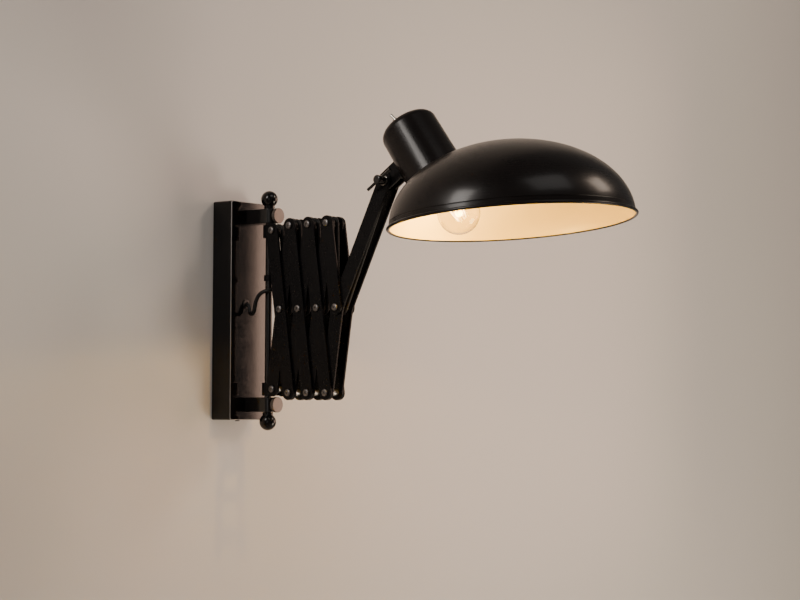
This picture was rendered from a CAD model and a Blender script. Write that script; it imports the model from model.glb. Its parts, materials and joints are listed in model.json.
"""Accordion wall lamp: the visible pieces, their finishes, a plain stage and the camera.

Metres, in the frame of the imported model: +Z is up, +Y points into the wall and +X is right when
facing the wall. "Reach" is the distance out from the rod's axis.
"""

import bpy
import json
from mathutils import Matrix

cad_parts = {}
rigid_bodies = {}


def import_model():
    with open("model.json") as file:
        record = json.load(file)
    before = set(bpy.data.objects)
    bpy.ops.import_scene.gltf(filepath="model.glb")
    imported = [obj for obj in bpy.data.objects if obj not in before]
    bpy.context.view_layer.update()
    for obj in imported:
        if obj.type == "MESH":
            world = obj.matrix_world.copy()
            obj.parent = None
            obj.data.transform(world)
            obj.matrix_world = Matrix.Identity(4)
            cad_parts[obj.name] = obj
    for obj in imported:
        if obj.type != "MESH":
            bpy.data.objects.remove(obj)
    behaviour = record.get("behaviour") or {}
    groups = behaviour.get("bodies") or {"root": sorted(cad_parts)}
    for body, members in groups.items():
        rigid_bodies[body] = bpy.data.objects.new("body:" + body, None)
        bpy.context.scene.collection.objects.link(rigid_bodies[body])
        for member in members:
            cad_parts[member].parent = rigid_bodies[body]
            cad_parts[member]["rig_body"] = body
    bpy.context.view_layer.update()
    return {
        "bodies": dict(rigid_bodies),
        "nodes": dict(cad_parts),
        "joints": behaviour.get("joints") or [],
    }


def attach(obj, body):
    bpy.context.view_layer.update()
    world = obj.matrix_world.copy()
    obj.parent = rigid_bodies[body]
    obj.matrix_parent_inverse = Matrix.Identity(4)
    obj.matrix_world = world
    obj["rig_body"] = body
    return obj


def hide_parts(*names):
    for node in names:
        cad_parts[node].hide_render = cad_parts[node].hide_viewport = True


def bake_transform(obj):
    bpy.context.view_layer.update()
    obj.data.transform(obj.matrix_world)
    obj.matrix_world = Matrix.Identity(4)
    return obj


bl_info = {
    "name": "Accordion wall lamp",
    "version": (1, 0, 0),
    "blender": (4, 5, 0),
    "location": "3D View > Sidebar > Wall lamp",
    "description": "Builds the pieces and finishes of a wall lamp on a scissor of flat links",
    "category": "Add Mesh",
}

import json
from math import asin, atan2, cos, degrees, pi, radians, sin, sqrt, tau

import bmesh
import bpy
from mathutils import Matrix, Vector

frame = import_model()

MM = 0.001
STAGES = 3  # full crossings of the scissor

# ---- places taken from the frame -----------------------------------------------------------
joint_place = {joint["name"]: Vector(joint["pos_m"]) for joint in frame["joints"]}
rod_y = joint_place["swivel"].y


def flat_place(name):
    """A joint's place as (reach, height)."""
    place = joint_place[name]
    return rod_y - place.y, place.z


def world(reach, height, x=0.0):
    """A point given by reach and height, in the frame."""
    return Vector((x, rod_y - reach, height))


upper_anchor = flat_place("extend")
lower_anchor = flat_place("lower_anchor")
crossings = [flat_place(f"crossing_{stage}") for stage in range(1, STAGES + 2)]
top_pivots = [flat_place(f"top_{stage}") for stage in range(1, STAGES + 1)]
bottom_pivots = [(reach, 2 * crossings[0][1] - height) for reach, height in top_pivots]
head_pivot = flat_place("head_tilt")

# ---- sizes that the source also has --------------------------------------------------------
CORD_RADIUS = 2.7 * MM
WRAP_RADIUS = 7.0 * MM  # spacer, gap and half a cord
WRAP_EXTRA = 4.0  # degrees that each wrap runs on past the top or the bottom
WRAP_STEP = 4.0  # degrees between its points
CLIP_BOTTOM = 40.0 * MM
INNER_SPACER = 8.4 * MM  # half length of a spacer between a pair of inner links
OUTER_SPACER = 11.7 * MM  # the same between outer links
INNER_HEAD = 11.6 * MM  # lamp's middle to a screw head on an inner link
OUTER_HEAD = 14.9 * MM  # the same on an outer link
SPACER_RADIUS = 4.2 * MM
SHANK_RADIUS = 2.5 * MM
HEAD_SHANK_FROM = 5.0 * MM  # lamp's middle to the stub of shank below an inner head
SCREW_HEAD_RADIUS = 4.75 * MM
SCREW_HEAD_HEIGHT = 3.0 * MM
SCREW_HEAD_EDGE = 0.3 * MM
NECK_LEAN = radians(35.0)
NECK_OFFSET = 64.0 * MM  # head pivot to the neck's axis
NECK_STATION = 104.0 * MM  # along that axis, from beside the head pivot to the bulb's centre
NECK_HOLE_RADIUS = 36.8 * MM
NECK_HOLE_FROM = 40.0 * MM  # above the bulb's centre, as all heights of the neck and holder are
NECK_TOP = 147.0 * MM
SHADE_LEAN = radians(4.7)
SHADE_RADIUS = 153.8 * MM
SHADE_HEIGHT = 102.0 * MM
SHADE_WALL = 1.3 * MM
BEAD_RADIUS = 2.2 * MM
BEAD_RISE = 0.66 * MM
RIM_OUT = 81.6 * MM  # bulb's centre to the rim's centre, outwards
RIM_DROP = 16.5 * MM  # and down
COLLAR_FACE = -13.7 * MM  # end face of the tilt screw's collar
BAR_TURN = radians(-67.4)  # the tilt screw as the photograph shows it turned
HOLDER_RADIUS = 20.0 * MM
HOLDER_MOUTH = 44.0 * MM
HOLDER_TOP = 90.0 * MM
HOLDER_CAP_RADIUS = 14.0 * MM
HOLDER_CAP_TOP = 106.0 * MM
HOLDER_EDGE = 1.0 * MM
HOLDER_SHOULDER = 3.0 * MM
SOCKET_RADIUS = 13.6 * MM
SOCKET_DEPTH = 30.0 * MM
NIPPLE_RADIUS = 5.0 * MM
NIPPLE_TOP = 150.0 * MM

# ---- details that only the scene has -------------------------------------------------------
RUBBED_NORMALS = (-0.95, -0.25)  # Y of a normal on the cover's rubbed front edges
FLAT_WITHIN = radians(0.4)  # faces of a solid that are joined before its edges are rounded
ROUNDED_FROM = radians(32)  # an edge as sharp as this is rounded
HEAD_CLEARANCE = 0.1 * MM  # the scene's screw heads stay this far inside the solid's
RECESS_REACH = 3.0 * MM  # screw's axis to the end of a slot
RECESS_DEPTH = 1.6 * MM
RECESS_TAPER = 0.6  # width of the recess's floor as a share of its mouth
HEAD_DOME_ANGLES = (12, 26, 40, 54, 66, 76, 84, 90)
GROOVE_HALF = 0.45 * MM
GROOVE_CLEAR = 1.5 * MM  # groove to the first plain ring of the dome
GROOVE_DEPTHS = ((2, 0.0), (1, 0.4 * MM), (0, 0.45 * MM), (-1, 0.0))  # in half widths above the groove
SHADE_STEPS = 40
BEAD_FROM, BEAD_TO, BEAD_STEPS = 112, -150, 20
LINING_FROM = 0.2 * MM  # height above the rim where the enamel starts
RIBS = 4
RIB_PITCH = 6.0 * MM
RIB_FIRST = 8.0 * MM  # holder's mouth to the first groove between ribs
RIB_DEPTH = 0.7 * MM
RIB_SLOPE = 0.8 * MM
RIB_GROOVE = 3.0 * MM
NIPPLE_EDGE = 0.6 * MM
WIRE_RADIUS = 0.16 * MM
WIRE_BENDS = 16
WIRE_SWEEP = 0.9  # share of a full turn that the filament goes round
WIRE_HALF_HEIGHT = 9.0 * MM
WIRE_UPPER_RING = 9.0 * MM
WIRE_LOWER_RING = 6.0 * MM
BULB_LIGHT_RADIUS = 5.0 * MM
STEM_PROFILE = [  # radius and height above the bulb's centre, in millimetres
    (0.0, 36.0),
    (7.0, 36.0),
    (4.0, 28.0),
    (2.0, 20.0),
    (1.6, 4.0),
    (2.4, 1.0),
    (1.6, -2.0),
    (0.0, -3.0),
]

neck_axis = Vector((0, sin(NECK_LEAN), cos(NECK_LEAN)))
shade_axis = Vector((0, sin(SHADE_LEAN), cos(SHADE_LEAN)))
bulb_centre = world(
    head_pivot[0] + NECK_OFFSET * cos(NECK_LEAN) + NECK_STATION * sin(NECK_LEAN),
    head_pivot[1] + NECK_OFFSET * sin(NECK_LEAN) - NECK_STATION * cos(NECK_LEAN),
)
rim_centre = bulb_centre + Vector((0, -RIM_OUT, -RIM_DROP))

# The free lead's route in millimetres, point for point as the source has it.
LEAD_POINTS = [
    (-10.0, -27.0, 9.0),
    (-10.0, -41.0, 9.0),
    (-10.5, -41.5, -5.0),
    (-15.3, -54.0, -5.5),
    (-14.2, -56.0, 14.0),
    (-11.6, -63.5, 24.5),
    (-7.4, -73.2, 26.5),
    (0.0, -77.0, 29.0),
    (0.0, -77.0, 39.9),
]
LEAD_FACE_Y = -34.0  # front of the box, where the lead comes out

# ---- camera, fitted to the photograph ------------------------------------------------------
PHOTO_WIDTH = 800
FOCAL_PIXELS = 1901.5
CAMERA_PLACE = (-1.9538, -1.7911, -0.1282)
CAMERA_AZIMUTH = radians(-52.53)
CAMERA_PITCH = radians(3.15)
CAMERA_ROLL = radians(0.23)
SENSOR_WIDTH = 36.0
CLIP_END = 50.0

# ---- stage ---------------------------------------------------------------------------------
PLATE_HIDES = (36.0 * MM, 146.0 * MM)  # half size of the wall's part that the box covers
ROOM_HALF_WIDTH = 6.0
ROOM_DEPTH = 6.0
ROOM_HEIGHT = 3.0
WALL_GAP = 0.6 * MM  # between the back plate and the wall's face
AIR_COLOUR = (0.62, 0.58, 0.55, 1.0)
AIR_STRENGTH = 0.22
MIDDLE = (0, -0.25, 0)  # what the broad lights face
# "share" is of the key power, and "spread" is in degrees.
LIGHTS = {
    "side": {
        "place": (-1.0, -0.2, 0.62),
        "target": (-0.05, -0.55, 0.16),
        "share": 0.11,
        "size": (0.34, 0.5),
        "colour": (1.0, 0.94, 0.88),
        "spread": 90,
    },
    "edge": {
        "place": (-1.7, -1.2, 0.1),
        "target": (-0.04, -0.03, 0),
        "share": 0.05,
        "size": (0.25, 1.1),
        "colour": (1.0, 0.96, 0.93),
    },
    "warm": {
        "place": (1.26, -1.64, 1.3),
        "target": MIDDLE,
        "share": 0.66,
        "size": (0.6, 0.6),
        "colour": (1.0, 0.8, 0.64),
    },
    "room": {
        "place": (1.366, -0.708, 0.08),
        "target": (0.016, 0.352, 0.0),
        "share": 0.075,
        "size": (0.8, 1.0),
        "colour": (1.0, 0.66, 0.5),
        "spread": 48,
    },
    "top": {
        "place": (-0.4, -2.2, 2.2),
        "target": MIDDLE,
        "share": 0.55,
        "size": (1.6, 1.2),
        "colour": (1.0, 0.96, 0.92),
    },
    "glow": {
        "place": (1.1, -1.7, -1.0),
        "target": (0.35, 0, -0.3),
        "share": 1.0,
        "size": (0.9, 0.9),
        "colour": (1.0, 0.86, 0.68),
    },
    "back": {
        "place": (0.7, 1.6, 0.7),
        "target": (0, 0, 0),
        "share": 0.5,
        "size": (1.2, 1.2),
        "colour": (1.0, 0.96, 0.92),
    },
}


# ---- finishes ------------------------------------------------------------------------------
def open_socket(node, key):
    """An input by its number, or the one of that name that the node's settings leave in use."""
    if isinstance(key, int):
        return node.inputs[key]
    name = key.replace("_", " ")
    return next(socket for socket in node.inputs if socket.name == name and socket.enabled)


class Value:
    """A number that varies over a surface, written as plain sums."""

    def __init__(self, finish, socket):
        self.finish = finish
        self.socket = socket

    def _math(self, operation, *operands):
        return self.finish.node("ShaderNodeMath", {"operation": operation}, *operands)

    def __add__(self, other):
        return self._math("ADD", self, other)

    def __radd__(self, other):
        return self._math("ADD", other, self)

    def __sub__(self, other):
        return self._math("SUBTRACT", self, other)

    def __rsub__(self, other):
        return self._math("SUBTRACT", other, self)

    def __mul__(self, other):
        return self._math("MULTIPLY", self, other)

    def __rmul__(self, other):
        return self._math("MULTIPLY", other, self)

    def above(self, edge, width):
        """0 below the edge and 1 above it, with a soft step."""
        low, high = edge - width / 2, edge + width / 2
        return self.finish.node("ShaderNodeMapRange", {"interpolation_type": "SMOOTHSTEP"}, self, low, high)


class Finish:
    """A material being made: one Principled shader and the nodes that feed it."""

    def __init__(self, name, **constants):
        self.material = bpy.data.materials.new(name)
        self.material.use_nodes = True
        self.tree = self.material.node_tree
        self.tree.nodes.clear()
        self.shader = self.tree.nodes.new("ShaderNodeBsdfPrincipled")
        self.surface = self.tree.nodes.new("ShaderNodeOutputMaterial").inputs["Surface"]
        self.tree.links.new(self.shader.outputs["BSDF"], self.surface)
        for socket, value in constants.items():
            self.set(socket, value)
        self.place = self.node("ShaderNodeTexCoord", {}, output="Object")

    def feed(self, node, key, value):
        """Link or set one input of a node."""
        socket = open_socket(node, key)
        if isinstance(value, Value):
            self.tree.links.new(value.socket, socket)
        elif isinstance(value, tuple) and len(value) < len(socket.default_value):
            socket.default_value = (*value, 1.0)
        else:
            socket.default_value = value

    def set(self, socket, value):
        """Feed an input of the shader."""
        self.feed(self.shader, socket, value)

    def node(self, kind, settings, *values, output=0, **named):
        """Any node: its settings first, then the values or links of its sockets."""
        node = self.tree.nodes.new(kind)
        for key, value in settings.items():
            setattr(node, key, value)
        for key, value in (*enumerate(values), *named.items()):
            self.feed(node, key, value)
        return Value(self, node.outputs[output])

    def noise(self, scale, detail=2.0, roughness=0.5, place=None, distortion=0.0):
        """Cloudy noise, with the scale counted in waves per metre."""
        return self.node(
            "ShaderNodeTexNoise",
            {},
            Vector=place or self.place,
            Scale=scale,
            Detail=detail,
            Roughness=roughness,
            Distortion=distortion,
        )

    def stretched(self, scale):
        """Object coordinates with each axis scaled, for brushed or drawn marks."""
        return self.node("ShaderNodeMapping", {"vector_type": "POINT"}, Vector=self.place, Scale=scale)

    def mix(self, share, first, second):
        """A colour between two, by a share that may vary."""
        settings = {"data_type": "RGBA", "clamp_factor": True}
        return self.node("ShaderNodeMix", settings, output=2, Factor=share, A=first, B=second)

    def bump(self, height, strength, distance):
        """Relief from a height between 0 and 1, its depth given in metres."""
        relief = self.node("ShaderNodeBump", {}, Height=height, Strength=strength, Distance=distance)
        self.set("Normal", relief)


def painted_metal(name, colour, tint, gloss, coat, peel, shine):
    """Sprayed paint: orange peel, faint clouds, a film of dust and fine rub marks.

    "gloss" is the lowest roughness, "coat" the share of clear coat, "peel" the strength of the orange
    peel and "shine" the specular level.
    """
    paint = Finish(name, Specular_IOR_Level=shine, Coat_Weight=coat, Coat_Roughness=0.04)
    clouds = paint.noise(45.0, 3.0)
    dust = paint.noise(420.0, 4.0, 0.7).above(0.6, 0.16)
    rubs = paint.noise(60.0, 5.0, 0.75, paint.stretched((9.0, 9.0, 1.0))).above(0.64, 0.1)
    base = paint.mix(clouds, colour, tint)
    base = paint.mix(dust * 0.02, base, (0.32, 0.29, 0.27))
    paint.set("Base Color", paint.mix(rubs * 0.03, base, (0.2, 0.18, 0.17)))
    paint.set("Roughness", gloss + clouds * 0.05 + dust * 0.06 + rubs * 0.08)
    paint.bump(paint.noise(900.0, 2.0) + rubs * 0.15, peel, 0.00012)
    return paint.material


def plated_metal(name, colour, tint, gloss, grain):
    """Bare or plated metal: drawn grain, stains and small scratches.

    "gloss" is the lowest roughness, and "grain" stretches the drawn lines along each axis.
    """
    metal = Finish(name, Metallic=1.0)
    clouds = metal.noise(130.0, 4.0, 0.6)
    lines = metal.noise(700.0, 3.0, 0.6, metal.stretched(grain))
    scratches = metal.noise(240.0, 6.0, 0.8, distortion=1.4).above(0.66, 0.05)
    metal.set("Base Color", metal.mix(clouds * 0.6 + lines * 0.4, colour, tint))
    metal.set("Roughness", gloss + clouds * 0.1 + lines * 0.08 + scratches * 0.12)
    metal.bump(lines + scratches * 0.4, 0.3, 0.00008)
    return metal.material


def spun_shade_paint(name):
    """Dark oil-rubbed lacquer over spun metal, with faint rings round the shade's axis."""
    colours = bpy.context.scene.lamp_shade
    paint = Finish(name, Coat_Weight=0.1, Coat_Roughness=0.14, Specular_IOR_Level=0.2, Metallic=0.1)
    turned = paint.node(
        "ShaderNodeMapping",
        {"vector_type": "TEXTURE"},
        Vector=paint.place,
        Location=tuple(rim_centre),
        Rotation=(-SHADE_LEAN, 0.0, 0.0),
    )
    height = paint.node("ShaderNodeSeparateXYZ", {}, turned, output="Z")
    rings = paint.node("ShaderNodeTexNoise", {"noise_dimensions": "1D"}, W=height * 420.0, Detail=3.0)
    clouds = paint.noise(24.0, 4.0, 0.6)
    specks = paint.noise(800.0, 3.0, 0.7).above(0.66, 0.1)
    base = paint.mix(clouds, tuple(colours.outside_dark), tuple(colours.outside_warm))
    base = paint.mix(specks * 0.03, base, (0.3, 0.24, 0.2))
    paint.set("Base Color", base)
    paint.set("Roughness", 0.22 + clouds * 0.08 + rings * 0.05 + specks * 0.08)
    paint.bump(rings * 0.4 + paint.noise(500.0, 2.0) * 0.3, 0.2, 0.0001)
    return paint.material


def inside_enamel(name):
    """Cream white enamel inside the shade, a little uneven."""
    enamel = Finish(name, Coat_Weight=0.15, Coat_Roughness=0.2)
    clouds = enamel.noise(30.0, 3.0)
    specks = enamel.noise(600.0, 3.0, 0.7).above(0.68, 0.08)
    cream = tuple(bpy.context.scene.lamp_shade.inside)
    base = enamel.mix(clouds, cream, tuple(0.93 * part for part in cream))
    enamel.set("Base Color", enamel.mix(specks * 0.12, base, (0.5, 0.42, 0.32)))
    enamel.set("Roughness", 0.38 + clouds * 0.12)
    enamel.bump(enamel.noise(800.0, 2.0), 0.3, 0.0001)
    return enamel.material


def cord_sheath(name):
    """Black extruded sheath with a waxy sheen and a little dust."""
    sheath = Finish(name, Specular_IOR_Level=0.25)
    clouds = sheath.noise(90.0, 3.0)
    dust = sheath.noise(500.0, 5.0, 0.75).above(0.58, 0.2)
    base = sheath.mix(clouds, (0.004, 0.0036, 0.004), (0.009, 0.008, 0.008))
    sheath.set("Base Color", sheath.mix(dust * 0.03, base, (0.3, 0.27, 0.25)))
    sheath.set("Roughness", 0.36 + clouds * 0.12 + dust * 0.15)
    sheath.bump(sheath.noise(1300.0, 3.0), 0.35, 0.0001)
    return sheath.material


def moulded_phenolic(name):
    """Black moulded lampholder, slightly mottled."""
    resin = Finish(name, Specular_IOR_Level=0.5)
    mottle = resin.noise(260.0, 4.0, 0.7)
    resin.set("Base Color", resin.mix(mottle, (0.015, 0.012, 0.011), (0.035, 0.026, 0.022)))
    resin.set("Roughness", 0.3 + mottle * 0.14)
    resin.bump(resin.noise(1100.0, 2.0), 0.3, 0.0001)
    return resin.material


def clear_glass(name):
    """Clear blown glass, a touch warm."""
    glass = Finish(name, Transmission_Weight=1.0, IOR=1.46)
    waves = glass.noise(45.0, 2.0)
    glass.set("Base Color", glass.mix(waves, (1.0, 0.985, 0.96), (1.0, 0.97, 0.93)))
    glass.set("Roughness", 0.01 + waves * 0.02)
    glass.bump(waves, 0.15, 0.0002)
    return glass.material


def glowing_wire(name):
    """White-hot filament, hotter in some turns than in others."""
    brightness = bpy.context.scene.lamp_bulb.filament_strength
    wire = Finish(name, Roughness=0.6, Emission_Strength=brightness)
    heat = wire.noise(500.0, 2.0)
    wire.set("Base Color", wire.mix(heat, (0.9, 0.6, 0.3), (1.0, 0.75, 0.45)))
    wire.set("Emission Color", wire.mix(heat, (1.0, 0.62, 0.26), (1.0, 0.78, 0.46)))
    return wire.material


def stage_paint(name, setting):
    """Plain pale paint for the wall or the floor, clear from behind."""
    colour = tuple(getattr(bpy.context.scene.lamp_stage, setting))
    paint = Finish(name, Roughness=0.85)
    clouds = paint.noise(2.0, 3.0)
    paint.set("Base Color", paint.mix(clouds, colour, tuple(0.96 * part for part in colour)))
    behind = paint.node("ShaderNodeNewGeometry", {}, output="Backfacing")
    front = Value(paint, paint.shader.outputs["BSDF"])
    clear = paint.node("ShaderNodeBsdfTransparent", {})
    shown = paint.node("ShaderNodeMixShader", {}, behind, front, clear)
    paint.tree.links.new(shown.socket, paint.surface)
    return paint.material


# Each finish by name, with what makes it and its own looks.
FINISHES = {
    "box_gloss": (
        painted_metal,
        {
            "colour": (0.002, 0.0019, 0.0024),
            "tint": (0.004, 0.0036, 0.004),
            "gloss": 0.04,
            "coat": 0.12,
            "peel": 0.08,
            "shine": 0.25,
        },
    ),
    "link_satin": (
        painted_metal,
        {
            "colour": (0.0022, 0.0022, 0.003),
            "tint": (0.0045, 0.0042, 0.0052),
            "gloss": 0.25,
            "coat": 0.02,
            "peel": 0.4,
            "shine": 0.13,
        },
    ),
    "rod_black": (
        painted_metal,
        {
            "colour": (0.005, 0.0045, 0.0045),
            "tint": (0.012, 0.01, 0.01),
            "gloss": 0.17,
            "coat": 0.2,
            "peel": 0.2,
            "shine": 0.4,
        },
    ),
    "rubbed_edge": (
        plated_metal,
        {"colour": (0.42, 0.39, 0.38), "tint": (0.3, 0.28, 0.27), "gloss": 0.3, "grain": (1, 1, 6)},
    ),
    "thumb_steel": (
        plated_metal,
        {"colour": (0.19, 0.168, 0.155), "tint": (0.13, 0.115, 0.108), "gloss": 0.34, "grain": (1, 1, 1)},
    ),
    "screw_zinc": (
        plated_metal,
        {"colour": (0.24, 0.225, 0.22), "tint": (0.15, 0.14, 0.14), "gloss": 0.3, "grain": (1, 1, 1)},
    ),
    "spacer_zinc": (
        plated_metal,
        {"colour": (0.74, 0.72, 0.69), "tint": (0.6, 0.58, 0.56), "gloss": 0.27, "grain": (1, 12, 12)},
    ),
    "plate_zinc": (
        plated_metal,
        {"colour": (0.6, 0.6, 0.58), "tint": (0.5, 0.5, 0.5), "gloss": 0.35, "grain": (1, 1, 8)},
    ),
    "nickel": (
        plated_metal,
        {"colour": (0.6, 0.56, 0.5), "tint": (0.46, 0.42, 0.38), "gloss": 0.18, "grain": (1, 6, 6)},
    ),
    "shade_lacquer": (spun_shade_paint, {}),
    "shade_enamel": (inside_enamel, {}),
    "cord_sheath": (cord_sheath, {}),
    "phenolic": (moulded_phenolic, {}),
    "clear_glass": (clear_glass, {}),
    "glowing_wire": (glowing_wire, {}),
    "wall_paint": (stage_paint, {"setting": "wall_colour"}),
    "floor_paint": (stage_paint, {"setting": "floor_colour"}),
}
made_finishes = {}


def finish(name):
    """A finish by name, made the first time it is asked for."""
    if name not in made_finishes:
        maker, looks = FINISHES[name]
        made_finishes[name] = maker(name, **looks)
    return made_finishes[name]


# ---- mesh helpers --------------------------------------------------------------------------
def new_object(name, mesh):
    """An object for a mesh, linked to the scene."""
    made = bpy.data.objects.new(name, mesh)
    bpy.context.scene.collection.objects.link(made)
    return made


def settle(obj, name):
    """The object with its modifiers applied, as a new plain object."""
    evaluated = obj.evaluated_get(bpy.context.evaluated_depsgraph_get())
    mesh = bpy.data.meshes.new_from_object(evaluated)
    mesh.name = name
    bpy.data.objects.remove(obj)
    return new_object(name, mesh)


def carry(obj, body, slot, *nodes):
    """Put a finished piece on its body, in place of the CAD nodes it stands for."""
    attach(obj, body)
    if nodes:
        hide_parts(*nodes)
    return obj


def body_of(node):
    """The body that a CAD node rides on."""
    return frame["nodes"][node]["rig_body"]


def softened(node, finish_name, edge=0.35):
    """A merged copy of a CAD node with its sharp edges rounded, by a radius in millimetres."""
    copied = bmesh.new()
    copied.from_mesh(frame["nodes"][node].data)
    bmesh.ops.remove_doubles(copied, verts=copied.verts, dist=1e-7)
    bmesh.ops.dissolve_limit(copied, angle_limit=FLAT_WITHIN, verts=copied.verts, edges=copied.edges)
    mesh = bpy.data.meshes.new(node + "_soft")
    copied.to_mesh(mesh)
    copied.free()
    mesh.materials.append(finish(finish_name))
    mesh.polygons.foreach_set("use_smooth", [True] * len(mesh.polygons))
    mesh.polygons.foreach_set("material_index", [0] * len(mesh.polygons))
    rough = new_object(node + "_rough", mesh)
    rounding = rough.modifiers.new("edges", "BEVEL")
    rounding.width = edge * MM
    rounding.segments = 2
    rounding.limit_method = "ANGLE"
    rounding.angle_limit = ROUNDED_FROM
    rounding.use_clamp_overlap = True
    shading = rough.modifiers.new("shading", "WEIGHTED_NORMAL")
    shading.keep_sharp = False
    shading.weight = 60
    return settle(rough, node + "_piece")


def soft_pieces(slot, finish_name, *nodes, edge=0.35):
    """Softened copies of several nodes, each on its own body."""
    return [carry(softened(node, finish_name, edge), body_of(node), slot, node) for node in nodes]


def lathe(name, profile, origin, axis, finish_name, steps=96):
    """A closed profile of (radius, height) pairs turned round an axis."""
    turned = bmesh.new()
    side = Vector((0, 1, 0)) if abs(axis.x) > 0.5 else Vector((1, 0, 0))
    front = axis.cross(side).normalized()
    rings = []
    for radius, height in profile:
        ring = []
        for step in range(steps):
            angle = tau * step / steps
            arm = side * cos(angle) + front * sin(angle)
            ring.append(turned.verts.new(origin + axis * height + arm * radius))
        rings.append(ring)
    for lower, upper in zip(rings, rings[1:] + rings[:1]):
        for step in range(steps):
            after = (step + 1) % steps
            turned.faces.new((lower[step], lower[after], upper[after], upper[step]))
    bmesh.ops.remove_doubles(turned, verts=turned.verts, dist=1e-7)
    bmesh.ops.dissolve_degenerate(turned, dist=1e-8, edges=turned.edges)
    bmesh.ops.recalc_face_normals(turned, faces=turned.faces)
    mesh = bpy.data.meshes.new(name)
    turned.to_mesh(mesh)
    turned.free()
    mesh.materials.append(finish(finish_name))
    mesh.polygons.foreach_set("use_smooth", [True] * len(mesh.polygons))
    return new_object(name, mesh)


def arc(centre, radius, start, end, count):
    """Points of a round stretch in a profile, with angles in degrees."""
    angles = [radians(start + (end - start) * step / count) for step in range(count + 1)]
    return [(centre[0] + radius * cos(angle), centre[1] + radius * sin(angle)) for angle in angles]


def polyline(name, points):
    """An object of edges only, through the points."""
    mesh = bpy.data.meshes.new(name)
    steps = [(index, index + 1) for index in range(len(points) - 1)]
    mesh.from_pydata([tuple(point) for point in points], steps, [])
    return new_object(name, mesh)


# ---- node trees ----------------------------------------------------------------------------
class NodeTree:
    """A Geometry Nodes tree being made, with named inputs."""

    def __init__(self, name):
        self.tree = bpy.data.node_groups.new(name, "GeometryNodeTree")
        self.tree.interface.new_socket("Geometry", in_out="INPUT", socket_type="NodeSocketGeometry")
        self.tree.interface.new_socket("Geometry", in_out="OUTPUT", socket_type="NodeSocketGeometry")
        self.identifiers = {}
        self.entry = self.tree.nodes.new("NodeGroupInput")

    def size(self, name, kind="NodeSocketFloat"):
        """A named input of the tree."""
        socket = self.tree.interface.new_socket(name, in_out="INPUT", socket_type=kind)
        self.identifiers[name] = socket.identifier
        return self.entry.outputs[name]

    def node(self, kind, settings=None, output=0, **sockets):
        """A node with its settings, its linked or set sockets and one chosen output."""
        node = self.tree.nodes.new(kind)
        for key, value in (settings or {}).items():
            setattr(node, key, value)
        for key, value in sockets.items():
            if isinstance(value, bpy.types.NodeSocket):
                self.tree.links.new(value, open_socket(node, key))
            else:
                open_socket(node, key).default_value = value
        return node.outputs[output]

    def join(self, *parts):
        """Several geometries as one."""
        node = self.tree.nodes.new("GeometryNodeJoinGeometry")
        for part in parts:
            self.tree.links.new(part, node.inputs[0])
        return node.outputs[0]

    def end(self, geometry):
        """Connect the tree's result."""
        leave = self.tree.nodes.new("NodeGroupOutput")
        self.tree.links.new(geometry, leave.inputs[0])

    def run(self, obj, name, **sizes):
        """The tree's result on an object, as a plain mesh object."""
        modifier = obj.modifiers.new(self.tree.name, "NODES")
        modifier.node_group = self.tree
        for key, value in sizes.items():
            modifier[self.identifiers[key.replace("_", " ")]] = value
        return settle(obj, name)


def tube_tree():
    """Round cord or wire that follows a line of edges."""
    tree = NodeTree("cord along its line")
    radius = tree.size("Radius")
    sides = tree.size("Sides", "NodeSocketInt")
    coat = tree.size("Finish", "NodeSocketMaterial")
    line = tree.node("GeometryNodeMeshToCurve", Mesh=tree.entry.outputs["Geometry"])
    ring = tree.node("GeometryNodeCurvePrimitiveCircle", Radius=radius, Resolution=sides)
    swept = tree.node("GeometryNodeCurveToMesh", Curve=line, Profile_Curve=ring, Fill_Caps=True)
    smooth = tree.node("GeometryNodeSetShadeSmooth", Geometry=swept)
    real = tree.node("GeometryNodeRealizeInstances", Geometry=smooth)
    tree.end(tree.node("GeometryNodeSetMaterial", Geometry=real, Material=coat))
    return tree


def tube(tree, name, points, radius, sides, finish_name):
    """Round cord or wire through the points, made by a tube tree."""
    spine = polyline(name + "_line", points)
    return tree.run(spine, name, Radius=radius, Sides=sides, Finish=finish(finish_name))


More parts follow.
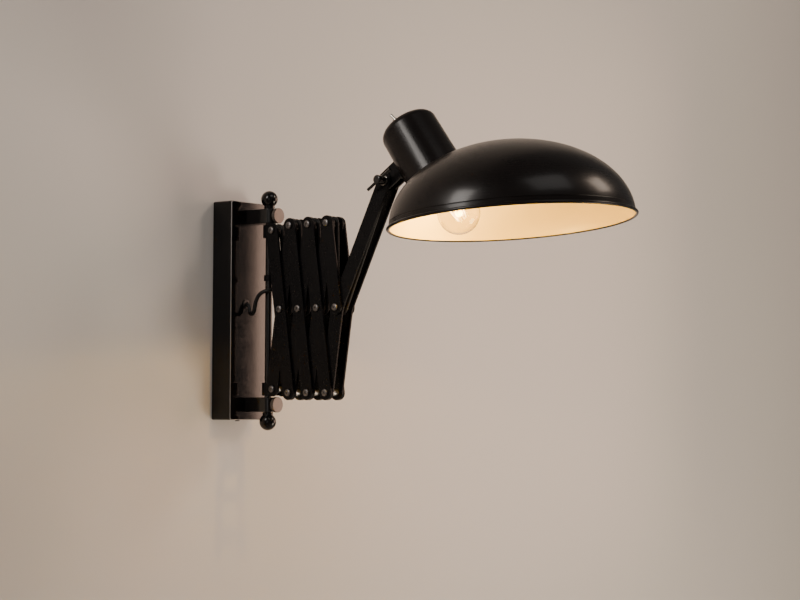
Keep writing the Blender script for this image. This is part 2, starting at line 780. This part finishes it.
def hardware_tree():
    """Spacer tube and two screw heads with a stub of shank, at every pivot point.

    The points carry "spacer_half", "head_from", "tube" (0 or 1) and "left_head" (0 or 1).
    """
    tree = NodeTree("pivot hardware")
    head = tree.size("Screw Head", "NodeSocketObject")
    spacer_radius = tree.size("Spacer Radius")
    seed = tree.size("Seed", "NodeSocketInt")
    screw_coat = tree.size("Screw Finish", "NodeSocketMaterial")
    spacer_coat = tree.size("Spacer Finish", "NodeSocketMaterial")
    points = tree.node("GeometryNodeMeshToPoints", Mesh=tree.entry.outputs["Geometry"])

    def attribute(name):
        return tree.node("GeometryNodeInputNamedAttribute", Name=name)

    cylinder = tree.node("GeometryNodeMeshCylinder", Vertices=40, Radius=spacer_radius, Depth=2.0)
    spacer = tree.node("GeometryNodeSetMaterial", Geometry=cylinder, Material=spacer_coat)
    stretch = tree.node("ShaderNodeCombineXYZ", X=1.0, Y=1.0, Z=attribute("spacer_half"))
    spacers = tree.node(
        "GeometryNodeInstanceOnPoints",
        Points=points,
        Selection=attribute("tube"),
        Instance=spacer,
        Rotation=(0.0, pi / 2, 0.0),
        Scale=stretch,
    )
    template = tree.node("GeometryNodeObjectInfo", output="Geometry", Object=head)
    coated = tree.node("GeometryNodeSetMaterial", Geometry=template, Material=screw_coat)
    parts = [spacers]
    for side, selected, turn in ((1.0, None, 0.0), (-1.0, attribute("left_head"), pi)):
        out = tree.node("ShaderNodeCombineXYZ", X=attribute("head_from"))
        offset = tree.node("ShaderNodeVectorMath", {"operation": "SCALE"}, Vector=out, Scale=side)
        moved = tree.node("GeometryNodeSetPosition", Geometry=points, Offset=offset)
        chance = {"data_type": "FLOAT"}
        spin = tree.node("FunctionNodeRandomValue", chance, output=1, Min=0.0, Max=pi / 2, Seed=seed)
        rotation = tree.node("ShaderNodeCombineXYZ", X=spin, Y=0.0, Z=turn)
        settings = {"Points": moved, "Instance": coated, "Rotation": rotation}
        if selected:
            settings["Selection"] = selected
        parts.append(tree.node("GeometryNodeInstanceOnPoints", **settings))
    real = tree.node("GeometryNodeRealizeInstances", Geometry=tree.join(*parts))
    tree.end(real)
    return tree


# ---- settings ------------------------------------------------------------------------------
LENGTH = {"subtype": "DISTANCE", "unit": "LENGTH"}
POWER = {"subtype": "POWER", "unit": "POWER", "min": 0.0}


class LinkSettings(bpy.types.PropertyGroup):
    edge: bpy.props.FloatProperty(
        name="Edge rounding",
        description="Radius of the rounded edges, in millimetres",
        default=0.35,
        min=0.05,
        max=1.0,
    )


class ScrewSettings(bpy.types.PropertyGroup):
    dome: bpy.props.FloatProperty(
        name="Dome", description="How high the screw heads are domed", default=1.5 * MM, **LENGTH
    )
    recess: bpy.props.FloatProperty(
        name="Recess width", description="Width of the cross recess's slots", default=1.4 * MM, **LENGTH
    )
    seed: bpy.props.IntProperty(name="Seed", description="Turns the cross recesses differently", default=7)


class CordSettings(bpy.types.PropertyGroup):
    sides: bpy.props.IntProperty(
        name="Sides", description="Faces round the cord", default=28, min=8, max=64
    )


class ShadeSettings(bpy.types.PropertyGroup):
    outside_dark: bpy.props.FloatVectorProperty(
        name="Outside, dark",
        description="Darker colour of the outside",
        default=(0.0032, 0.0022, 0.0022),
        subtype="COLOR",
    )
    outside_warm: bpy.props.FloatVectorProperty(
        name="Outside, warm",
        description="Warmer colour of the outside",
        default=(0.008, 0.0055, 0.005),
        subtype="COLOR",
    )
    inside: bpy.props.FloatVectorProperty(
        name="Inside", description="Colour of the enamel inside", default=(0.9, 0.75, 0.34), subtype="COLOR"
    )
    groove_height: bpy.props.FloatProperty(
        name="Groove height", description="Rim to the groove above the bead", default=8.0 * MM, **LENGTH
    )


class BulbSettings(bpy.types.PropertyGroup):
    filament_strength: bpy.props.FloatProperty(
        name="Filament", description="Brightness of the glowing wire", default=60.0, min=0.0
    )
    light_power: bpy.props.FloatProperty(
        name="Light", description="Power of the bulb's light", default=1.9, **POWER
    )
    light_colour: bpy.props.FloatVectorProperty(
        name="Light colour",
        description="Colour of the bulb's light",
        default=(1.0, 0.56, 0.12),
        subtype="COLOR",
    )


class StageSettings(bpy.types.PropertyGroup):
    wall_colour: bpy.props.FloatVectorProperty(
        name="Wall",
        description="Colour of the wall behind the lamp",
        default=(0.74, 0.7, 0.66),
        subtype="COLOR",
    )
    floor_colour: bpy.props.FloatVectorProperty(
        name="Floor", description="Colour of the floor", default=(0.72, 0.69, 0.65), subtype="COLOR"
    )
    floor_height: bpy.props.FloatProperty(
        name="Floor height", description="Height of the floor in the lamp's frame", default=-1.3, **LENGTH
    )
    key_power: bpy.props.FloatProperty(
        name="Key light", description="Power that the soft lights share out", default=20.0, **POWER
    )


# ---- pieces --------------------------------------------------------------------------------
class LampWallBox(bpy.types.Operator):
    """Wall plate, cover, brackets, grommet and cover screws"""

    bl_idname = "lamp.wall_box"
    bl_label = "Wall box"

    def execute(self, context):
        soft_pieces("zinc_plate", "plate_zinc", "back_plate")
        (cover,) = soft_pieces("black_gloss", "box_gloss", "box_cover", edge=0.3)
        cover.data.materials.append(finish("rubbed_edge"))
        for face in cover.data.polygons:
            face.material_index = int(RUBBED_NORMALS[0] < face.normal.y < RUBBED_NORMALS[1])
        soft_pieces("black_satin", "rod_black", "upper_bracket", "lower_bracket", edge=0.5)
        soft_pieces("cord_black", "cord_sheath", "cord_grommet", edge=0.3)
        soft_pieces("steel", "screw_zinc", "box_screws", edge=0.4)
        return {"FINISHED"}


class LampRodAndYokes(bpy.types.Operator):
    """Rod, ball finials, thumb screws, yokes and cord clip"""

    bl_idname = "lamp.rod_and_yokes"
    bl_label = "Rod and yokes"

    def execute(self, context):
        soft_pieces("black_satin", "rod_black", "swivel_rod")
        soft_pieces("black_gloss", "box_gloss", "upper_ball", "lower_ball", edge=0.3)
        soft_pieces("black_satin", "thumb_steel", "upper_thumb_screw", "lower_thumb_screw", edge=0.12)
        soft_pieces("black_satin", "link_satin", "upper_yoke", "lower_yoke", "cord_clip", edge=0.5)
        return {"FINISHED"}


class LampLinks(bpy.types.Operator):
    """Flat links of the scissor and the two plates of the bent arm"""

    bl_idname = "lamp.links"
    bl_label = "Links"

    def execute(self, context):
        plates = [node for node in sorted(frame["nodes"]) if node.endswith(("_left", "_right"))]
        soft_pieces("black_satin", "link_satin", *plates, edge=context.scene.lamp_links.edge)
        return {"FINISHED"}


def pivots_by_body():
    """For each body its pivots: place, half spacer, where the heads start, tube and left head or not."""
    bodies = {
        "swivel": [(upper_anchor, OUTER_SPACER, OUTER_HEAD, 1, 1)],
        "lower_collar": [(lower_anchor, INNER_SPACER, INNER_HEAD, 1, 1)],
        "half_link": [(crossings[STAGES], INNER_SPACER, OUTER_HEAD, 1, 1)],
        "arm": [
            (bottom_pivots[-1], INNER_SPACER, OUTER_HEAD, 1, 1),
            (head_pivot, INNER_SPACER, INNER_HEAD, 0, 0),
        ],
    }
    for stage in range(STAGES):
        falling, rising = f"falling_{stage + 1}", f"rising_{stage + 1}"
        bodies[falling] = [(crossings[stage], INNER_SPACER, OUTER_HEAD, 1, 1)]
        bodies[rising] = [(top_pivots[stage], INNER_SPACER, OUTER_HEAD, 1, 1)]
        if stage:
            bodies[rising].append((bottom_pivots[stage - 1], INNER_SPACER, OUTER_HEAD, 1, 1))
    return bodies


class LampPivotScrews(bpy.types.Operator):
    """Spacer tubes and pan-head screws at the pivots, one piece for each body"""

    bl_idname = "lamp.pivot_screws"
    bl_label = "Pivot screws"

    def execute(self, context):
        settings = context.scene.lamp_screws
        pattern = screw_pattern(settings)
        tree = hardware_tree()
        attributes = {"spacer_half": "FLOAT", "head_from": "FLOAT", "tube": "BOOLEAN", "left_head": "BOOLEAN"}
        nodes = {"swivel": "upper_anchor_pivot", "lower_collar": "lower_anchor_pivot"}
        for order, (body, pivots) in enumerate(pivots_by_body().items()):
            mesh = bpy.data.meshes.new(body + "_points")
            mesh.from_pydata([tuple(world(*pivot[0])) for pivot in pivots], [], [])
            for index, (name, kind) in enumerate(attributes.items(), start=1):
                values = mesh.attributes.new(name, kind, "POINT")
                values.data.foreach_set("value", [pivot[index] for pivot in pivots])
            made = tree.run(
                new_object(body + "_points", mesh),
                body + "_screws",
                Screw_Head=pattern,
                Spacer_Radius=SPACER_RADIUS,
                Seed=settings.seed + order,
                Screw_Finish=finish("screw_zinc"),
                Spacer_Finish=finish("spacer_zinc"),
            )
            carry(made, body, "steel", nodes.get(body, body + "_pivots"))
        bpy.data.objects.remove(pattern)
        return {"FINISHED"}


def screw_profile(height, dome):
    """Section of a pan head and a stub of its shank."""
    shoulder = height - dome
    stub = HEAD_SHANK_FROM - INNER_HEAD
    profile = [
        (0.0, stub),
        (SHANK_RADIUS, stub),
        (SHANK_RADIUS, 0.0),
        (SCREW_HEAD_RADIUS - SCREW_HEAD_EDGE, 0.0),
        (SCREW_HEAD_RADIUS, SCREW_HEAD_EDGE),
        (SCREW_HEAD_RADIUS, shoulder),
    ]
    for angle in HEAD_DOME_ANGLES:
        turn = radians(angle)
        profile.append((SCREW_HEAD_RADIUS * sqrt(cos(turn)), shoulder + dome * sin(turn)))
    return profile


def cross_recess(height, width):
    """Tapered cross that is cut from a screw head of that height."""
    half = width / 2
    arm = [(half, half), (half, RECESS_REACH), (-half, RECESS_REACH)]
    turns = [(cos(pi / 2 * quarter), sin(pi / 2 * quarter)) for quarter in range(4)]
    cross = [(y * c - z * s, y * s + z * c) for c, s in turns for y, z in arm]
    slots = bmesh.new()
    mouth = [slots.verts.new((height + RECESS_DEPTH, y, z)) for y, z in cross]
    floor = [slots.verts.new((height - RECESS_DEPTH, RECESS_TAPER * y, RECESS_TAPER * z)) for y, z in cross]
    slots.faces.new(mouth)
    slots.faces.new(floor)
    for index in range(len(cross)):
        slots.faces.new((mouth[index - 1], mouth[index], floor[index], floor[index - 1]))
    bmesh.ops.recalc_face_normals(slots, faces=slots.faces)
    mesh = bpy.data.meshes.new("recess")
    slots.to_mesh(mesh)
    slots.free()
    return new_object("recess", mesh)


def cut_away(obj, cutter, name):
    """The object with the cutter's shape taken out, as a new plain object."""
    cut = obj.modifiers.new("cut", "BOOLEAN")
    cut.operation = "DIFFERENCE"
    cut.solver = "EXACT"
    cut.object = cutter
    made = settle(obj, name)
    bpy.data.objects.remove(cutter)
    return made


def screw_pattern(settings):
    """Pan head with a cross recess and a stub of its shank, facing +X."""
    height = SCREW_HEAD_HEIGHT - HEAD_CLEARANCE
    profile = screw_profile(height, settings.dome)
    head = lathe("pan_head", profile, Vector((0, 0, 0)), Vector((1, 0, 0)), "screw_zinc", 40)
    pattern = cut_away(head, cross_recess(height, settings.recess), "pan_head_pattern")
    sharp_by_angle(pattern.data, 34)
    return pattern


def sharp_by_angle(mesh, limit):
    """Smooth shading with a crease wherever two faces meet at more than the limit."""
    folded = bmesh.new()
    folded.from_mesh(mesh)
    for face in folded.faces:
        face.smooth = True
    for edge in folded.edges:
        edge.smooth = len(edge.link_faces) == 2 and edge.calc_face_angle(pi) < radians(limit)
    folded.to_mesh(mesh)
    folded.free()


def wrap_point(pivot, angle):
    """Point of the cord's circle round a pivot, with the angle in degrees from straight out."""
    turn = radians(angle)
    return pivot[0] + WRAP_RADIUS * cos(turn), pivot[1] + WRAP_RADIUS * sin(turn)


def wrap(pivot, start, end):
    """Points of the cord's bend round a pivot."""
    count = max(4, int(abs(end - start) / WRAP_STEP))
    return [wrap_point(pivot, start + (end - start) * step / count) for step in range(count + 1)]


def laced(top, bottom, side):
    """Line of the cord over the top spacer, down the link and under the lower spacer.

    The run leaves the top spacer on one side, 1 for away from the wall, and meets the lower one
    on the other.
    """
    drop = Vector((bottom[0] - top[0], bottom[1] - top[1]))
    lean = degrees(atan2(abs(drop.x), -drop.y))
    slant = degrees(asin(2 * WRAP_RADIUS / drop.length))
    turn = side * (90 - lean + slant)
    over = wrap(top, 90 + side * WRAP_EXTRA, 90 - turn)
    under = wrap(bottom, 270 - turn, 270 + side * WRAP_EXTRA)
    return over + under


def cord_lines():
    """Line of each stretch of the laced cord, as (reach, height) points, by its CAD node."""
    lines = {}
    tops = [upper_anchor] + top_pivots
    for stage in range(STAGES):
        lines[f"falling_{stage + 1}_cord"] = laced(tops[stage], crossings[stage], 1)
        lines[f"rising_{stage + 1}_cord"] = laced(top_pivots[stage], crossings[stage], -1)
    last = crossings[-1]
    lines["half_link_cord"] = laced(top_pivots[-1], last, 1)
    riser_foot = (upper_anchor[0] - WRAP_RADIUS, CLIP_BOTTOM)
    lines["riser_cord"] = [riser_foot] + wrap(upper_anchor, 180, 90 - WRAP_EXTRA)
    lean = Vector((head_pivot[0] - last[0], head_pivot[1] - last[1]))
    turn = 90 - degrees(atan2(lean.x, lean.y)) + degrees(asin(WRAP_RADIUS / lean.length))
    lines["arm_cord"] = wrap(last, 270 - WRAP_EXTRA, 270 + turn) + [head_pivot]
    entry = bulb_centre + neck_axis * NECK_STATION
    cap_side = (
        rod_y - entry.y - HOLDER_CAP_RADIUS * cos(NECK_LEAN),
        entry.z - HOLDER_CAP_RADIUS * sin(NECK_LEAN),
    )
    lines["head_cord"] = [head_pivot, cap_side]
    return lines


class LampLacedCord(bpy.types.Operator):
    """Cord laced round the spacers, one piece for each link"""

    bl_idname = "lamp.laced_cord"
    bl_label = "Laced cord"

    def execute(self, context):
        tree = tube_tree()
        sides = context.scene.lamp_cord.sides
        for node, line in cord_lines().items():
            points = [world(*point) for point in line]
            made = tube(tree, node + "_piece", points, CORD_RADIUS, sides, "cord_sheath")
            if node == "arm_cord":
                add_ball(made, world(*head_pivot), CORD_RADIUS)
            carry(made, body_of(node), "cord_black", node)
        return {"FINISHED"}


def add_ball(obj, centre, radius):
    """Add a round end to a cord."""
    grown = bmesh.new()
    grown.from_mesh(obj.data)
    place = Matrix.Translation(centre)
    made = bmesh.ops.create_uvsphere(grown, u_segments=28, v_segments=14, radius=radius, matrix=place)
    for vert in made["verts"]:
        for face in vert.link_faces:
            face.smooth = True
    grown.to_mesh(obj.data)
    grown.free()


def lead_line():
    """Points of the free lead's middle line."""
    curve = bpy.data.curves.new("lead_route", "CURVE")
    curve.dimensions = "3D"
    spline = curve.splines.new("NURBS")
    spline.points.add(len(LEAD_POINTS) - 1)
    for point, place in zip(spline.points, LEAD_POINTS):
        point.co = (*(value * MM for value in place), 1.0)
    spline.order_u = 3
    spline.use_endpoint_u = True
    spline.resolution_u = 10
    route = new_object("lead_route", curve)
    line = bpy.data.meshes.new_from_object(route)
    bpy.data.objects.remove(route)
    return [vert.co.copy() for vert in line.vertices]


class LampFreeLead(bpy.types.Operator):
    """Free lead from the grommet to the clip on the rod"""

    bl_idname = "lamp.free_lead"
    bl_label = "Free lead"

    def execute(self, context):
        points = lead_line()
        sides = context.scene.lamp_cord.sides
        lead = tube(tube_tree(), "free_lead", points, CORD_RADIUS, sides, "cord_sheath")
        face_y = LEAD_FACE_Y * MM
        outside = next(index for index, point in enumerate(points) if point.y <= face_y)
        before, after = points[outside - 1], points[outside]
        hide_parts("lead_cord")
        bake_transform(lead)
        return {"FINISHED"}


def shade_profile(groove_height):
    """Closed section of the shade: outside, rolled bead at the rim, and inside."""
    grooved = []
    for level, depth in GROOVE_DEPTHS:
        height = groove_height + level * GROOVE_HALF
        radius = SHADE_RADIUS * sqrt(1 - (height / SHADE_HEIGHT) ** 2)
        grooved.append((radius - depth, height))
    start = asin((groove_height + GROOVE_CLEAR) / SHADE_HEIGHT)
    crown = [start + (pi / 2 - start) * step / SHADE_STEPS for step in range(SHADE_STEPS, -1, -1)]
    dome = [(SHADE_RADIUS * cos(angle), SHADE_HEIGHT * sin(angle)) for angle in crown]
    bead_centre = (SHADE_RADIUS + BEAD_RADIUS - SHADE_WALL, BEAD_RISE)
    bead = arc(bead_centre, BEAD_RADIUS, BEAD_FROM, BEAD_TO, BEAD_STEPS)
    inner_radius = SHADE_RADIUS - SHADE_WALL
    inner_height = SHADE_HEIGHT - SHADE_WALL
    inside = [pi / 2 * step / SHADE_STEPS for step in range(SHADE_STEPS + 1)]
    lining = [(inner_radius * cos(angle), inner_height * sin(angle)) for angle in inside]
    dome[0] = (0.0, dome[0][1])
    lining[-1] = (0.0, lining[-1][1])
    return dome + grooved + bead + lining


def faces_inwards(face):
    """True for a face of the shade's lining."""
    arm = face.center - rim_centre
    height = arm.dot(shade_axis)
    radius = (arm - shade_axis * height).length
    middle_radius = SHADE_RADIUS - SHADE_WALL / 2
    middle_height = SHADE_HEIGHT - SHADE_WALL / 2
    return height > LINING_FROM and (radius / middle_radius) ** 2 + (height / middle_height) ** 2 < 1


class LampShade(bpy.types.Operator):
    """Spun shade with its rolled bead, and the neck above it"""

    bl_idname = "lamp.shade"
    bl_label = "Shade and neck"

    def execute(self, context):
        profile = shade_profile(context.scene.lamp_shade.groove_height)
        shell = lathe("shade_shell", profile, rim_centre, shade_axis, "shade_lacquer", 160)
        hole = [
            (0.0, NECK_HOLE_FROM),
            (NECK_HOLE_RADIUS, NECK_HOLE_FROM),
            (NECK_HOLE_RADIUS, NECK_TOP),
            (0.0, NECK_TOP),
        ]
        cutter = lathe("neck_hole", hole, bulb_centre, neck_axis, "shade_lacquer", 96)
        shade = cut_away(shell, cutter, "shade_piece")
        shade.data.materials.clear()
        shade.data.materials.append(finish("shade_lacquer"))
        shade.data.materials.append(finish("shade_enamel"))
        for face in shade.data.polygons:
            face.material_index = int(faces_inwards(face))
        sharp_by_angle(shade.data, 28)
        carry(shade, "head", "shade_paint", "shade")
        soft_pieces("shade_paint", "shade_lacquer", "lampholder_cup", edge=0.4)
        return {"FINISHED"}


class LampTiltJoint(bpy.types.Operator):
    """Fork below the neck and the screw with its cross bar"""

    bl_idname = "lamp.tilt_joint"
    bl_label = "Tilt joint"

    def execute(self, context):
        soft_pieces("black_satin", "link_satin", "knuckle", edge=0.6)
        tommy = softened("tommy_screw", "rod_black", 0.5)
        pivot = Matrix.Translation(world(*head_pivot))
        tommy.data.transform(pivot @ Matrix.Rotation(BAR_TURN, 4, "X") @ pivot.inverted())
        carry(tommy, "tommy", "black_satin", "tommy_screw")
        tommy.data.materials.append(finish("nickel"))
        for face in tommy.data.polygons:
            if face.center.x > COLLAR_FACE:
                face.material_index = 1
        return {"FINISHED"}


class LampSwitch(bpy.types.Operator):
    """Toggle switch and its lever on the neck's end"""

    bl_idname = "lamp.switch"
    bl_label = "Toggle switch"

    def execute(self, context):
        soft_pieces("nickel", "nickel", "toggle_switch", "toggle_lever", edge=0.25)
        return {"FINISHED"}


def holder_profile():
    """Section of the lampholder: socket, ribbed skirt, sloping shoulder, cap and nipple."""
    ribs = []
    for rib in range(RIBS):
        foot = HOLDER_MOUTH + RIB_FIRST + RIB_PITCH * rib
        ribs += [
            (HOLDER_RADIUS, foot),
            (HOLDER_RADIUS - RIB_DEPTH, foot + RIB_SLOPE),
            (HOLDER_RADIUS - RIB_DEPTH, foot + RIB_GROOVE - RIB_SLOPE),
            (HOLDER_RADIUS, foot + RIB_GROOVE),
        ]
    mouth = [
        (0.0, HOLDER_MOUTH + SOCKET_DEPTH),
        (SOCKET_RADIUS, HOLDER_MOUTH + SOCKET_DEPTH),
        (SOCKET_RADIUS, HOLDER_MOUTH + HOLDER_EDGE),
        (SOCKET_RADIUS + HOLDER_EDGE, HOLDER_MOUTH),
        (HOLDER_RADIUS - HOLDER_EDGE, HOLDER_MOUTH),
        (HOLDER_RADIUS, HOLDER_MOUTH + HOLDER_EDGE),
    ]
    cap = [
        (HOLDER_RADIUS, HOLDER_TOP - HOLDER_EDGE),
        (HOLDER_RADIUS - HOLDER_EDGE, HOLDER_TOP),
        (HOLDER_CAP_RADIUS, HOLDER_TOP + HOLDER_SHOULDER),
        (HOLDER_CAP_RADIUS, HOLDER_CAP_TOP - HOLDER_EDGE),
        (HOLDER_CAP_RADIUS - HOLDER_EDGE, HOLDER_CAP_TOP),
    ]
    nipple = [
        (NIPPLE_RADIUS, HOLDER_CAP_TOP),
        (NIPPLE_RADIUS, NIPPLE_TOP - NIPPLE_EDGE),
        (NIPPLE_RADIUS - NIPPLE_EDGE, NIPPLE_TOP),
        (0.0, NIPPLE_TOP),
    ]
    return mouth + ribs + cap + nipple


def filament_line():
    """Zigzag of the filament round the bulb's axis."""
    side = Vector((1, 0, 0))
    front = neck_axis.cross(side)
    zigzag = []
    for bend in range(WIRE_BENDS + 1):
        angle = tau * WIRE_SWEEP * bend / WIRE_BENDS
        upper = bend % 2
        height = WIRE_HALF_HEIGHT if upper else -WIRE_HALF_HEIGHT
        ring = WIRE_UPPER_RING if upper else WIRE_LOWER_RING
        zigzag.append(bulb_centre + neck_axis * height + (side * cos(angle) + front * sin(angle)) * ring)
    return zigzag


class LampBulb(bpy.types.Operator):
    """Lampholder, clear bulb with its glowing wire, and the light it gives"""

    bl_idname = "lamp.bulb"
    bl_label = "Bulb"

    def execute(self, context):
        settings = context.scene.lamp_bulb
        holder = lathe("lampholder_piece", holder_profile(), bulb_centre, neck_axis, "phenolic", 72)
        sharp_by_angle(holder.data, 30)
        carry(holder, "head", "phenolic", "lampholder")
        soft_pieces("nickel", "nickel", "bulb_cap", edge=0.4)
        (glass,) = soft_pieces("bulb_glass", "clear_glass", "bulb_glass", edge=0.1)
        glass.visible_shadow = False
        wire = tube(tube_tree(), "filament", filament_line(), WIRE_RADIUS, 8, "glowing_wire")
        carry(wire, "head", "nickel")
        stem = [(radius * MM, height * MM) for radius, height in STEM_PROFILE]
        post = lathe("filament_stem", stem, bulb_centre, neck_axis, "clear_glass", 32)
        post.visible_shadow = False
        sharp_by_angle(post.data, 50)
        carry(post, "head", "bulb_glass")
        light = bpy.data.lights.new("bulb_light", "POINT")
        light.energy = settings.light_power
        light.color = settings.light_colour
        light.shadow_soft_size = BULB_LIGHT_RADIUS
        shine = new_object("bulb_light", light)
        shine.location = bulb_centre
        shine.parent = frame["bodies"]["head"]
        return {"FINISHED"}


def soft_light(name, key_power, place, target, share, size, colour, spread=180):
    """Large rectangular light that faces a target."""
    data = bpy.data.lights.new(name, "AREA")
    data.shape = "RECTANGLE"
    data.size, data.size_y = size
    data.spread = radians(spread)
    data.energy = key_power * share
    data.color = colour
    made = new_object(name, data)
    made.location = place
    made.rotation_euler = (Vector(target) - Vector(place)).to_track_quat("-Z", "Y").to_euler()


def build_room(floor_height):
    """Wall with an opening behind the back plate, and a floor."""
    right, front = ROOM_HALF_WIDTH, -ROOM_DEPTH
    outer = [(-right, floor_height), (right, floor_height), (right, ROOM_HEIGHT), (-right, ROOM_HEIGHT)]
    half_width, half_height = PLATE_HIDES
    inner = [
        (-half_width, -half_height),
        (half_width, -half_height),
        (half_width, half_height),
        (-half_width, half_height),
    ]
    wall = [(x, WALL_GAP, z) for x, z in outer + inner]
    round_hole = [(side, (side + 1) % 4, (side + 1) % 4 + 4, side + 4) for side in range(4)]
    floor = [
        (-right, front, floor_height),
        (right, front, floor_height),
        (right, WALL_GAP, floor_height),
        (-right, WALL_GAP, floor_height),
    ]
    for name, corners, faces in (("wall", wall, round_hole), ("floor", floor, [(0, 1, 2, 3)])):
        mesh = bpy.data.meshes.new(name)
        mesh.from_pydata(corners, [], faces)
        mesh.materials.append(finish(name + "_paint"))
        new_object(name, mesh)


def photo_camera():
    """Camera that sees the lamp as the photograph does."""
    lens = bpy.data.cameras.new("camera")
    lens.sensor_width = SENSOR_WIDTH
    lens.lens = FOCAL_PIXELS / PHOTO_WIDTH * SENSOR_WIDTH
    lens.clip_end = CLIP_END
    camera = new_object("camera", lens)
    level = Vector((cos(CAMERA_AZIMUTH), sin(CAMERA_AZIMUTH), 0))
    ahead = Vector((-sin(CAMERA_AZIMUTH), cos(CAMERA_AZIMUTH), 0))
    forward = ahead * cos(CAMERA_PITCH) + Vector((0, 0, sin(CAMERA_PITCH)))
    upward = level.cross(forward)
    right = level * cos(CAMERA_ROLL) + upward * sin(CAMERA_ROLL)
    up = upward * cos(CAMERA_ROLL) - level * sin(CAMERA_ROLL)
    pose = Matrix((right, up, -forward)).transposed().to_4x4()
    pose.translation = Vector(CAMERA_PLACE)
    camera.matrix_world = pose
    return camera


class LampStage(bpy.types.Operator):
    """Plain pale wall and floor, soft studio light and the photograph's camera"""

    bl_idname = "lamp.stage"
    bl_label = "Stage and camera"

    def execute(self, context):
        settings = context.scene.lamp_stage
        build_room(settings.floor_height)
        for name, light in LIGHTS.items():
            soft_light(name, settings.key_power, **light)
        air = bpy.data.worlds.new("room")
        air.use_nodes = True
        background = air.node_tree.nodes["Background"]
        background.inputs["Color"].default_value = AIR_COLOUR
        background.inputs["Strength"].default_value = AIR_STRENGTH
        context.scene.world = air
        context.scene.camera = photo_camera()
        return {"FINISHED"}


class LampPanel(bpy.types.Panel):
    """Sizes, colours and buttons of the wall lamp"""

    bl_idname = "VIEW3D_PT_wall_lamp"
    bl_label = "Wall lamp"
    bl_space_type = "VIEW_3D"
    bl_region_type = "UI"
    bl_category = "Wall lamp"

    def draw(self, context):
        for group in SETTINGS:
            settings = getattr(context.scene, group)
            for key in settings.__annotations__:
                self.layout.prop(settings, key)
        for operator in OPERATORS:
            self.layout.operator(operator.bl_idname)


SETTINGS = {
    "lamp_links": LinkSettings,
    "lamp_screws": ScrewSettings,
    "lamp_cord": CordSettings,
    "lamp_shade": ShadeSettings,
    "lamp_bulb": BulbSettings,
    "lamp_stage": StageSettings,
}
OPERATORS = (
    LampStage,
    LampFreeLead,
    LampLacedCord,
    LampWallBox,
    LampRodAndYokes,
    LampLinks,
    LampPivotScrews,
    LampShade,
    LampTiltJoint,
    LampSwitch,
    LampBulb,
)


def register():
    """Register the classes and hang the settings on the scene."""
    for group, settings in SETTINGS.items():
        bpy.utils.register_class(settings)
        setattr(bpy.types.Scene, group, bpy.props.PointerProperty(type=settings))
    for operator in OPERATORS:
        bpy.utils.register_class(operator)
    bpy.utils.register_class(LampPanel)


def unregister():
    """Take everything back that register added."""
    bpy.utils.unregister_class(LampPanel)
    for operator in reversed(OPERATORS):
        bpy.utils.unregister_class(operator)
    for group, settings in SETTINGS.items():
        delattr(bpy.types.Scene, group)
        bpy.utils.unregister_class(settings)


def main():
    """Build the lamp and its stage."""
    register()
    for operator in OPERATORS:
        category, name = operator.bl_idname.split(".")
        getattr(getattr(bpy.ops, category), name)()


if __name__ == "__main__":
    main()
